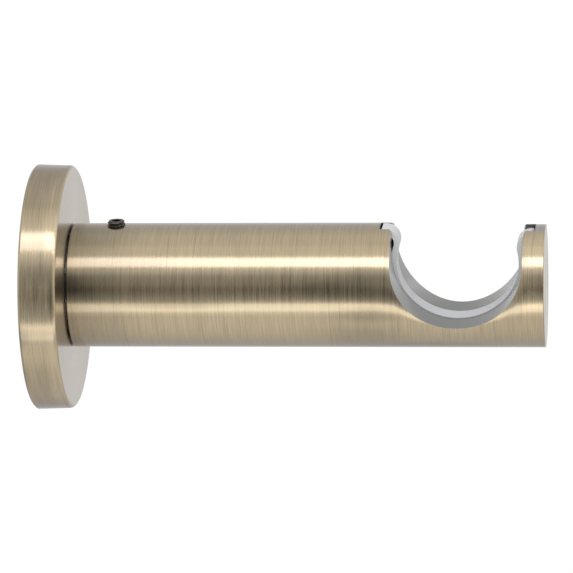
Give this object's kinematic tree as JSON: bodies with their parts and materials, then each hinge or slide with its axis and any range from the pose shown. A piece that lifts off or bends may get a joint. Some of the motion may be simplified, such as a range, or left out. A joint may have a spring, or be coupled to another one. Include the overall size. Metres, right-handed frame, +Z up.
{
  "type": "curtain pole bracket",
  "caption": "Wall bracket for a round curtain pole: disc rose, straight round arm with an open U cup at its end, plastic snap-in liner in the cup, grub screw holding the arm on a hidden spigot.",
  "frame": {"origin": "on the wall plane, on the axis of the arm", "axes": "+X along the arm, away from the wall; Y along the curtain pole; +Z up"},
  "size_m": [0.1152, 0.0556, 0.0555],
  "materials": {
    "brushed_finish": "brushed, antique brass colour",
    "black_steel": "black oxide",
    "liner_plastic": "moulded, pale grey",
    "zinc_steel": "zinc plated",
    "turned_aluminium": "turned"
  },
  "bodies": {
    "root": {"rose": "brushed_finish", "arm": "brushed_finish", "grub_screw": "black_steel", "pole_liner": "liner_plastic", "wall_plate": "zinc_steel", "spigot": "turned_aluminium", "spigot_screw": "zinc_steel"}
  },
  "joints": []
}
